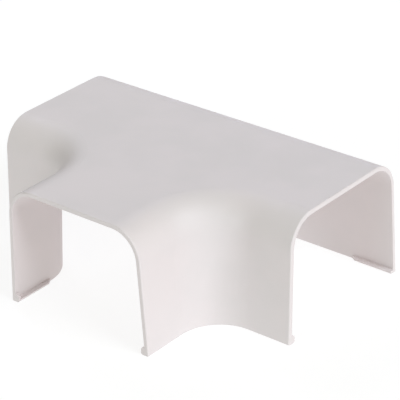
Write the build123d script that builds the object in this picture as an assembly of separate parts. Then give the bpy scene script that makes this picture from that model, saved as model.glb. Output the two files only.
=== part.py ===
# Tee cover for rectangular cable trunking, moulded in one piece of rigid PVC.
#
# The cover is a hood, open underneath and at its three mouths. A straight run lies along X and
# a branch of the same section leaves it at a right angle, towards -Y. The origin is where the two
# centrelines cross, in the plane of the bottom rim. Z points up. All lengths are in millimetres.

import os
from math import cos, radians, tan

from build123d import *

# Trunking that the cover clips over
trunking_width = 80.0
trunking_height = 60.0
side_clearance = 0.5         # on each side, at the rim
top_clearance = 0.3

# Moulding
wall = 2.1
draft = 3.0                  # degrees by which every wall leans in towards the top
run_length = 175.5           # from mouth to mouth of the straight run
branch_reach = 87.75         # from the run's centreline to the branch's mouth
corner_radius = 21.5         # outer wall in plan, at the rim, where the branch meets the run
shoulder_radius = 15.5       # outer roundover between the walls and the top
edge_rounding = 0.6          # outer edges of the mouths and of the rim

# Clip ledges on the inside of the rim, on both walls of each mouth
clip_depth = 2.3             # how far the ledges and the stops stand out from the wall
ledge_height = 1.6           # from the rim to where the sloping top meets the wall
ledge_nose = 1.3             # height of the upright nose, from the rim
ledge_length = 20.5          # full section, measured from the mouth
ledge_run_out = 3.7          # further length over which the ledge dies into the wall
ledge_rounding = 1.0         # lower edge of the nose

# Rounded stops on the mouth ends of the ledges, on the walls that turn into the branch
stop_radius = 2.0
stop_axis_height = 2.2       # above the rim
stop_length = 1.5            # along the wall

# Sizes that follow from the ones above
lean = tan(radians(draft))
wall_in_plan = wall / cos(radians(draft))
inner_half_width = trunking_width / 2 + side_clearance
outer_half_width = inner_half_width + wall_in_plan
inner_height = trunking_height + top_clearance
outer_height = inner_height + wall

# Direction of each mouth, as a turn from +X about Z, and its distance from the origin. The last
# value names the walls that turn into the branch: +1 to the left of that direction, -1 to the right
mouths = ((0, run_length / 2, (-1,)), (180, run_length / 2, (1,)), (-90, branch_reach, (1, -1)))

# A length that is only there to carry a cut or a joint through the surface beside it
overlap = 1.0


def in_mouth(shape, run, reach):
    """True for a face or edge that lies in the plane of one of the three mouths."""
    box = shape.bounding_box()
    in_run_mouth = box.size.X < 1e-4 and abs(abs(box.center().X) - run / 2) < 1e-4
    in_branch_mouth = box.size.Y < 1e-4 and abs(box.center().Y + reach) < 1e-4
    return in_run_mouth or in_branch_mouth


def tee_block(half_width, height, corner, shoulder, run, reach):
    """Solid tee with leaning walls, square ends and a rounded shoulder all along its top."""
    far_x = run / 2 + height * lean + overlap
    far_y = reach + height * lean + overlap
    with BuildPart() as block:
        with BuildSketch():
            with BuildLine():
                Polyline((far_x, half_width), (-far_x, half_width), (-far_x, -half_width),
                         (-half_width, -half_width), (-half_width, -far_y), (half_width, -far_y),
                         (half_width, -half_width), (far_x, -half_width), close=True)
            plan = make_face()
            inside_corners = [v for v in plan.vertices()
                              if abs(abs(v.X) - half_width) < 1e-6 and abs(v.Y + half_width) < 1e-6]
            fillet(inside_corners, corner)
        extrude(amount=height, taper=draft)
        with Locations((0, (half_width - reach) / 2, height / 2)):
            Box(run, half_width + reach, height, mode=Mode.INTERSECT)
        top = block.faces().sort_by(Axis.Z)[-1]
        fillet([e for e in top.edges() if not in_mouth(e, run, reach)], shoulder)
    return block.part


def outer_form():
    """Outside of the cover, with the edges of its mouths and of its rim rounded."""
    block = tee_block(outer_half_width, outer_height, corner_radius, shoulder_radius,
                      run_length, branch_reach)
    rounded = []
    for face in block.faces():
        if in_mouth(face, run_length, branch_reach):
            rounded += face.edges().sort_by(Axis.Z)[1:]
    base = block.faces().sort_by(Axis.Z)[0]
    rounded += [e for e in base.edges() if not in_mouth(e, run_length, branch_reach)]
    return fillet(rounded, edge_rounding)


def inner_form():
    """Space inside the cover, carried out through its mouths."""
    return tee_block(inner_half_width, inner_height, corner_radius + wall_in_plan,
                     shoulder_radius - wall, run_length + 2 * overlap, branch_reach + overlap)


def ledge(reach):
    """Clip ledge on the +Y wall of a mouth that lies at +X, with its root inside the wall."""
    root = inner_half_width + overlap
    nose = inner_half_width - clip_depth
    full = reach - ledge_length
    # The sloping top and the slanting end both carry on into the wall at their own slope
    slope = (ledge_height - ledge_nose) / (clip_depth - ledge_height * lean)
    root_height = ledge_nose + slope * (root - nose)
    root_end = full - ledge_run_out * (root - nose) / clip_depth
    section = Plane.YZ * make_face(Polyline(
        (nose, 0), (root, 0), (root, root_height), (nose, ledge_nose), close=True))
    bar = Pos(root_end, 0, 0) * extrude(section, reach - root_end)
    lower_edge = bar.edges().filter_by(Axis.X).group_by(Axis.Y)[0].sort_by(Axis.Z)[0]
    bar = fillet(lower_edge, ledge_rounding)
    plan = make_face(Polyline(
        (full, nose), (reach, nose), (reach, root), (root_end, root), close=True))
    return bar & extrude(plan, root_height)


def stop(reach):
    """Rounded stop on the mouth end of that ledge, cut off inside the wall."""
    axis_y = inner_half_width - clip_depth + stop_radius
    stud = Pos(reach - stop_length, axis_y, stop_axis_height) * Rot(0, 90, 0) * extrude(
        Circle(stop_radius), stop_length)
    room = Pos(reach, inner_half_width + overlap / 2, 0) * Box(
        2 * stop_length, 2 * clip_depth + overlap, 3 * stop_radius + stop_axis_height,
        align=(Align.CENTER, Align.MAX, Align.MIN))
    return stud & room


def clips():
    """The six ledges, one on each wall of each mouth, and the four stops."""
    made = []
    for turn, reach, turning_walls in mouths:
        for side in (1, -1):
            shapes = [ledge(reach)]
            if side in turning_walls:
                shapes.append(stop(reach))
            for shape in shapes:
                placed = shape if side == 1 else mirror(shape, Plane.XZ)
                made.append(Rot(0, 0, turn) * placed)
    return made


tee_cover = outer_form() - inner_form() + clips()
tee_cover.label = "tee_cover"

os.makedirs("parts", exist_ok=True)
export_step(tee_cover, "parts/tee_cover.step")
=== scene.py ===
"""Studio scene for the moulded tee cover of rectangular cable trunking.

Lengths are in metres and angles in degrees. An azimuth goes round from -Y towards +X, and an
elevation goes up from the floor.
"""
import logging
import math
from dataclasses import dataclass

import bmesh
import bpy
from mathutils import Matrix, Vector

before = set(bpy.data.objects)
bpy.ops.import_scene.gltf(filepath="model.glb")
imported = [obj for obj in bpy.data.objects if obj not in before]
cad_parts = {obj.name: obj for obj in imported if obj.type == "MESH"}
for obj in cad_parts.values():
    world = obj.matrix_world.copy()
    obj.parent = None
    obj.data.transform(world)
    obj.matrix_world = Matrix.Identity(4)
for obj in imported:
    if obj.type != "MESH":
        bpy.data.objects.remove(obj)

LOG = logging.getLogger("tee_cover")
MM = 0.001                              # one millimetre in metres
WHITE = "#ffffff"
MIX_A, MIX_B, MIX_RESULT = 6, 7, 2      # a Mix node's sockets for colours
Colour = tuple[float, float, float, float]


def linear(code: str) -> Colour:
    """Turns an sRGB hex colour into the linear colour that shaders and lights take.

    Args:
        code: six hex digits after a hash mark.

    Returns:
        The linear red, green and blue, with an alpha of 1.
    """
    parts = [int(code[i:i + 2], 16) / 255 for i in (1, 3, 5)]
    curve = [c / 12.92 if c <= 0.04045 else ((c + 0.055) / 1.055) ** 2.4 for c in parts]
    return (*curve, 1.0)


def direction(azimuth: float, elevation: float) -> Vector:
    """Gives the direction from the object out to a camera or a light.

    Args:
        azimuth: the angle round.
        elevation: the angle up.

    Returns:
        A vector of length 1.
    """
    turn, lift = math.radians(azimuth), math.radians(elevation)
    level = math.cos(lift)
    return Vector((math.sin(turn) * level, -math.cos(turn) * level, math.sin(lift)))


def add_node(tree: bpy.types.NodeTree, kind: str, sockets: dict[str | int, object] | None = None,
             **settings: object) -> bpy.types.Node:
    """Adds one node with its settings and the links into it.

    Args:
        tree: the node tree that gets the node.
        kind: the node's type name in Blender.
        sockets: by the name or number of an input, its value or the output that feeds it.
        **settings: the node's own properties.

    Returns:
        The new node.
    """
    node = tree.nodes.new(kind)
    for name, value in settings.items():
        setattr(node, name, value)
    for key, value in (sockets or {}).items():
        if isinstance(value, bpy.types.NodeSocket):
            tree.links.new(value, node.inputs[key])
        else:
            node.inputs[key].default_value = value
    return node


@dataclass(frozen=True)
class MouldedPvc:
    """Rigid white PVC, injection moulded against spark-eroded steel.

    Its pigment makes it opaque and a little warm, and the eroded steel leaves a fine grain, so the
    eye sees an even white with a low, soft sheen. The melt leaves faint clouds in it and a shallow
    ripple in the flats. The core that forms the inside is plainer steel, so the inside is duller,
    with faint draw marks along the way in which the core pulls out.
    """

    colour: str = "#e1d9d9"
    cloud_colour: str = "#ded7d7"
    ior: float = 1.53
    outside_roughness: float = 0.52
    inside_roughness: float = 0.62
    cloud_dullness: float = 0.06          # by which the clouds are rougher
    cloud_size: float = 26.0 * MM
    cloud_octaves: float = 3.0
    clear_below: float = 0.38             # noise under this is clear of cloud
    clouded_above: float = 0.62           # noise over this is all cloud
    ripple_size: float = 12.0 * MM
    ripple_depth: float = 0.035 * MM
    ripple_octaves: float = 1.0
    grain_size: float = 1.0 * MM          # really near 0.15 mm, which is too fine to show
    grain_depth: float = 0.014 * MM
    grain_octaves: float = 1.0
    draw_mark_pitch: float = 2.0 * MM     # really near 0.3 mm, which is too fine to show
    draw_mark_length: float = 60.0 * MM
    draw_mark_depth: float = 0.02 * MM
    draw_mark_octaves: float = 2.0
    outside_normal: float = -0.01         # a normal's Z over this is outside
    inside_normal: float = -0.04          # under this is inside: 3 degrees of draft give -0.052

    def material(self) -> bpy.types.Material:
        """Builds the material.

        Returns:
            The PVC, with its patterns in the object's own coordinates.
        """
        # Rigid PVC, injection moulded: an opaque warm white with a low, slightly uneven sheen
        made = bpy.data.materials.new("moulded_white_pvc")
        made.use_nodes = True
        tree = made.node_tree
        shader = tree.nodes["Principled BSDF"]
        shader.inputs["IOR"].default_value = self.ior
        place = add_node(tree, "ShaderNodeTexCoord")
        inside = self.inside(tree, place.outputs["Normal"])
        clouds = add_node(tree, "ShaderNodeTexNoise", {
            "Vector": place.outputs["Object"], "Scale": 1.0 / self.cloud_size,
            "Detail": self.cloud_octaves})
        cloud = add_node(tree, "ShaderNodeMapRange", {
            "Value": clouds.outputs["Fac"], "From Min": self.clear_below,
            "From Max": self.clouded_above})
        tint = add_node(tree, "ShaderNodeMix", {
            "Factor": cloud.outputs["Result"], MIX_A: linear(self.colour),
            MIX_B: linear(self.cloud_colour)}, data_type="RGBA")
        tree.links.new(tint.outputs[MIX_RESULT], shader.inputs["Base Color"])
        # Roughness: that of the side, plus the clouds' share
        side = add_node(tree, "ShaderNodeMapRange", {
            "Value": inside, "To Min": self.outside_roughness, "To Max": self.inside_roughness})
        rough = add_node(tree, "ShaderNodeMath", {
            0: cloud.outputs["Result"], 1: self.cloud_dullness, 2: side.outputs["Result"]},
            operation="MULTIPLY_ADD")
        tree.links.new(rough.outputs["Value"], shader.inputs["Roughness"])
        tree.links.new(self.relief(tree, place.outputs["Object"], inside), shader.inputs["Normal"])
        return made

    def inside(self, tree: bpy.types.NodeTree,
               normal: bpy.types.NodeSocket) -> bpy.types.NodeSocket:
        """Tells the inside of the cover from its outside by the walls' draft.

        The walls lean in towards the top, so every inner face looks a little downwards and every
        outer face a little upwards.

        Args:
            tree: the material's node tree.
            normal: the output that gives the surface's normal in the object's own axes.

        Returns:
            An output that is 1 on the inside and 0 elsewhere.
        """
        part = add_node(tree, "ShaderNodeSeparateXYZ", {"Vector": normal})
        mask = add_node(tree, "ShaderNodeMapRange", {
            "Value": part.outputs["Z"], "From Min": self.outside_normal,
            "From Max": self.inside_normal})
        return mask.outputs["Result"]

    def relief(self, tree: bpy.types.NodeTree, place: bpy.types.NodeSocket,
               inside: bpy.types.NodeSocket) -> bpy.types.NodeSocket:
        """Adds the ripple, the grain and the inside's draw marks as bumps.

        Args:
            tree: the material's node tree.
            place: the output that gives the object's own coordinates.
            inside: the output that is 1 on the inside of the cover.

        Returns:
            The output with the bumped normal.
        """
        # The core pulls out downwards, so the draw marks are long in Z and narrow across it
        pull = add_node(tree, "ShaderNodeMapping", {"Vector": place, "Scale": (
            1.0 / self.draw_mark_pitch, 1.0 / self.draw_mark_pitch, 1.0 / self.draw_mark_length)})
        ripple = add_node(tree, "ShaderNodeTexNoise", {
            "Vector": place, "Scale": 1.0 / self.ripple_size, "Detail": self.ripple_octaves})
        grain = add_node(tree, "ShaderNodeTexNoise", {
            "Vector": place, "Scale": 1.0 / self.grain_size, "Detail": self.grain_octaves})
        marks = add_node(tree, "ShaderNodeTexNoise", {
            "Vector": pull.outputs["Vector"], "Scale": 1.0, "Detail": self.draw_mark_octaves})
        wavy = add_node(tree, "ShaderNodeBump", {
            "Height": ripple.outputs["Fac"], "Distance": self.ripple_depth})
        grained = add_node(tree, "ShaderNodeBump", {
            "Height": grain.outputs["Fac"], "Distance": self.grain_depth,
            "Normal": wavy.outputs["Normal"]})
        drawn = add_node(tree, "ShaderNodeBump", {
            "Strength": inside, "Height": marks.outputs["Fac"], "Distance": self.draw_mark_depth,
            "Normal": grained.outputs["Normal"]})
        return drawn.outputs["Normal"]


@dataclass(frozen=True)
class OpalAcrylic:
    """Opal cast acrylic, the top of a light table, lit from below."""

    colour: str = "#757575"               # what it reflects: the rest of its white is glow
    ior: float = 1.49
    roughness: float = 0.9
    glow: float = 0.84

    def material(self) -> bpy.types.Material:
        """Builds the material.

        Returns:
            The glowing acrylic.
        """
        # Opal cast acrylic spreads the light and is matt: an even white, with hardly a shadow
        made = bpy.data.materials.new("opal_acrylic")
        made.use_nodes = True
        shader = made.node_tree.nodes["Principled BSDF"]
        shader.inputs["Base Color"].default_value = linear(self.colour)
        shader.inputs["IOR"].default_value = self.ior
        shader.inputs["Roughness"].default_value = self.roughness
        shader.inputs["Emission Color"].default_value = linear(WHITE)
        shader.inputs["Emission Strength"].default_value = self.glow
        return made


@dataclass(frozen=True)
class TeeCover:
    """The tee cover, one moulding."""

    node: str = "tee_cover"
    finish: MouldedPvc = MouldedPvc()

    def dress(self) -> bpy.types.Object:
        """Gives the moulding its finish.

        Returns:
            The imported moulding.
        """
        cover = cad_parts[self.node]
        cover.data.materials.clear()
        cover.data.materials.append(self.finish.material())
        return cover


@dataclass(frozen=True)
class PhotoView:
    """The camera that was fitted to the photograph."""

    azimuth: float = 40.268
    elevation: float = 27.781
    roll: float = -1.978
    distance: float = 930.4 * MM
    aim: Vector = Vector((32.385, -35.981, 54.902)) * MM
    focal_pixels: float = 2029.8          # focal length in pixels of the photograph
    frame_pixels: float = 400.0           # the photograph's width
    sensor: float = 36.0                  # in millimetres, as Blender has it
    clip_end: float = 50.0                # well past the floor's edges

    def place(self) -> bpy.types.Object:
        """Adds the camera and makes it the scene's own.

        Returns:
            The camera.
        """
        turn, roll = math.radians(self.azimuth), math.radians(self.roll)
        back = direction(self.azimuth, self.elevation)
        right = Vector((math.cos(turn), math.sin(turn), 0))
        up = back.cross(right)
        rolled_right = right * math.cos(roll) + up * math.sin(roll)
        rolled_up = up * math.cos(roll) - right * math.sin(roll)
        lens = bpy.data.cameras.new("photo_camera")
        lens.sensor_width = self.sensor
        lens.lens = self.focal_pixels * self.sensor / self.frame_pixels
        lens.clip_end = self.clip_end
        camera = bpy.data.objects.new("photo_camera", lens)
        axes = Matrix((rolled_right, rolled_up, back)).transposed().to_4x4()
        camera.matrix_world = Matrix.Translation(self.aim + back * self.distance) @ axes
        bpy.context.scene.collection.objects.link(camera)
        bpy.context.scene.camera = camera
        return camera


@dataclass(frozen=True)
class Softbox:
    """A soft light far from the object.

    A strength of 1 lights a white surface that faces it to full white, and the spread is the width
    that the light shows from the object.
    """

    name: str
    azimuth: float
    elevation: float
    strength: float
    colour: str
    spread: float = 20.0

    def place(self) -> bpy.types.Object:
        """Adds the light, turned so that it shines on the object.

        Returns:
            The light.
        """
        back = direction(self.azimuth, self.elevation)
        lamp = bpy.data.lights.new(self.name, "SUN")
        lamp.energy = self.strength * math.pi
        lamp.angle = math.radians(self.spread)
        lamp.color = linear(self.colour)[:3]
        made = bpy.data.objects.new(self.name, lamp)
        made.matrix_world = back.to_track_quat("Z", "Y").to_matrix().to_4x4()
        bpy.context.scene.collection.objects.link(made)
        return made


@dataclass(frozen=True)
class Studio:
    """An opal light table under a warm white tent, with daylight softboxes all round."""

    table_size: float = 12.0
    table_finish: OpalAcrylic = OpalAcrylic()
    tent_colour: str = "#fff5da"
    tent_strength: float = 0.307
    softboxes: tuple[Softbox, ...] = (
        Softbox("key_softbox", 90.0, 40.0, 0.681, "#f2f8ff", spread=30.0),
        Softbox("front_softbox", 0.0, 20.0, 0.185, "#e1f8ff"),
        Softbox("fill_softbox", -120.0, 40.0, 0.167, "#dce6ff"),
        Softbox("rear_softbox", -150.0, 20.0, 0.086, "#c1d2ff"),
    )

    def floor(self) -> bpy.types.Object:
        """Adds the pale floor, which is the top of the light table.

        Returns:
            The floor.
        """
        shape = bmesh.new()
        bmesh.ops.create_grid(shape, x_segments=1, y_segments=1, size=self.table_size / 2)
        mesh = bpy.data.meshes.new("floor")
        shape.to_mesh(mesh)
        shape.free()
        mesh.materials.append(self.table_finish.material())
        floor = bpy.data.objects.new("floor", mesh)
        bpy.context.scene.collection.objects.link(floor)
        return floor

    def tent(self) -> bpy.types.World:
        """Gives the whole scene an even surround, which shows white above the floor's far edge.

        Returns:
            The surround.
        """
        world = bpy.data.worlds.new("light_tent")
        world.use_nodes = True
        tree = world.node_tree
        cloth = tree.nodes["Background"]
        cloth.inputs["Color"].default_value = linear(self.tent_colour)
        cloth.inputs["Strength"].default_value = self.tent_strength
        # The cloth lights the object, and a camera sees plain white in its place
        ray = add_node(tree, "ShaderNodeLightPath")
        backdrop = add_node(tree, "ShaderNodeBackground", {"Color": linear(WHITE), "Strength": 1.0})
        seen = add_node(tree, "ShaderNodeMixShader", {
            0: ray.outputs["Is Camera Ray"], 1: cloth.outputs["Background"],
            2: backdrop.outputs["Background"]})
        tree.links.new(seen.outputs["Shader"], tree.nodes["World Output"].inputs["Surface"])
        bpy.context.scene.world = world
        return world

    def build(self) -> None:
        """Sets up the floor, the surround and the lights."""
        self.floor()
        self.tent()
        for softbox in self.softboxes:
            softbox.place()
        bpy.context.scene.view_settings.view_transform = "Standard"


def main() -> None:
    """Dresses the cover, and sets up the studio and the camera."""
    logging.basicConfig(level=logging.INFO, format="%(name)s: %(message)s")
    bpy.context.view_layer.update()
    cover = TeeCover().dress()
    LOG.info("%s: %d faces, %s", cover.name, len(cover.data.polygons), cover.data.materials[0].name)
    Studio().build()
    PhotoView().place()


if __name__ == "__main__":
    main()
